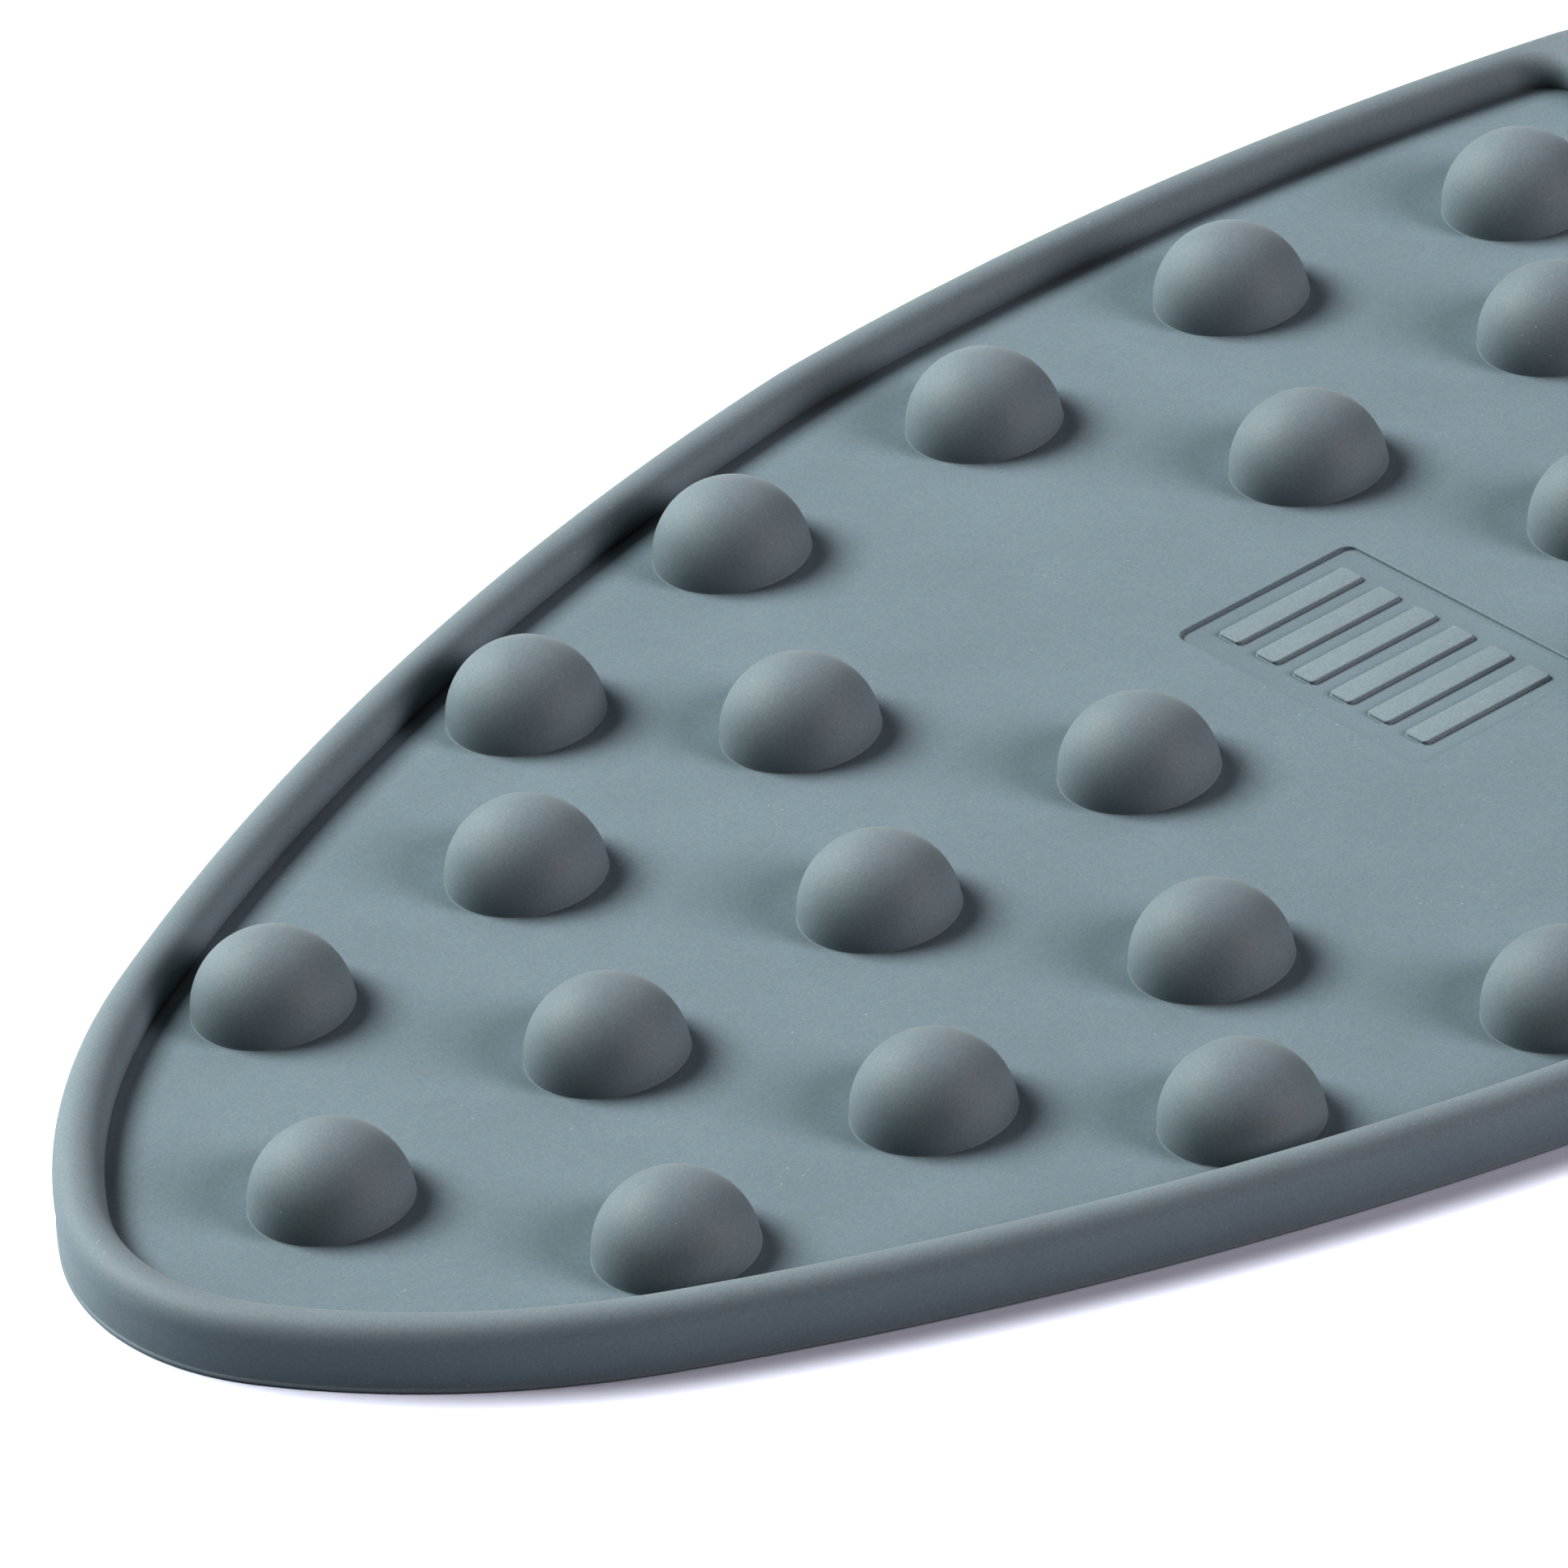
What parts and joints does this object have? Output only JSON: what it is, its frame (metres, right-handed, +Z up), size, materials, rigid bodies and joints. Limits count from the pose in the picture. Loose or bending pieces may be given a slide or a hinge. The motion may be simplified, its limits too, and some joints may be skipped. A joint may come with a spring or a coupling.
{
  "type": "iron rest mat",
  "caption": "Iron-shaped silicone mat with a raised rim and round nubs, which keep a small iron's hot soleplate off the table.",
  "frame": {"origin": "on the table, under the middle of the mat's length and width", "axes": "+X from the rounded tip to the straight back edge, +Z up, +Y to the right for someone who holds the iron with its tip towards -X"},
  "size_m": [0.1554, 0.106, 0.0069],
  "materials": {
    "silicone": "matte moulded silicone, slate blue-grey"
  },
  "bodies": {
    "root": {"base_sheet": "silicone", "rim": "silicone", "nub_middle_1": "silicone", "nub_middle_2": "silicone", "nub_middle_3": "silicone", "nub_middle_4": "silicone", "nub_middle_5": "silicone", "nub_middle_6": "silicone", "nub_inner_left_1": "silicone", "nub_inner_right_1": "silicone", "nub_inner_left_2": "silicone", "nub_inner_right_2": "silicone", "nub_inner_left_3": "silicone", "nub_inner_right_3": "silicone", "nub_inner_left_4": "silicone", "nub_inner_right_4": "silicone", "nub_inner_left_5": "silicone", "nub_inner_right_5": "silicone", "nub_outer_left_1": "silicone", "nub_outer_right_1": "silicone", "nub_outer_left_2": "silicone", "nub_outer_right_2": "silicone", "nub_outer_left_3": "silicone", "nub_outer_right_3": "silicone", "nub_outer_left_4": "silicone", "nub_outer_right_4": "silicone", "nub_outer_left_5": "silicone", "nub_outer_right_5": "silicone", "label_bar_1": "silicone", "label_bar_2": "silicone", "label_bar_3": "silicone", "label_bar_4": "silicone", "label_bar_5": "silicone", "label_bar_6": "silicone"}
  },
  "joints": []
}
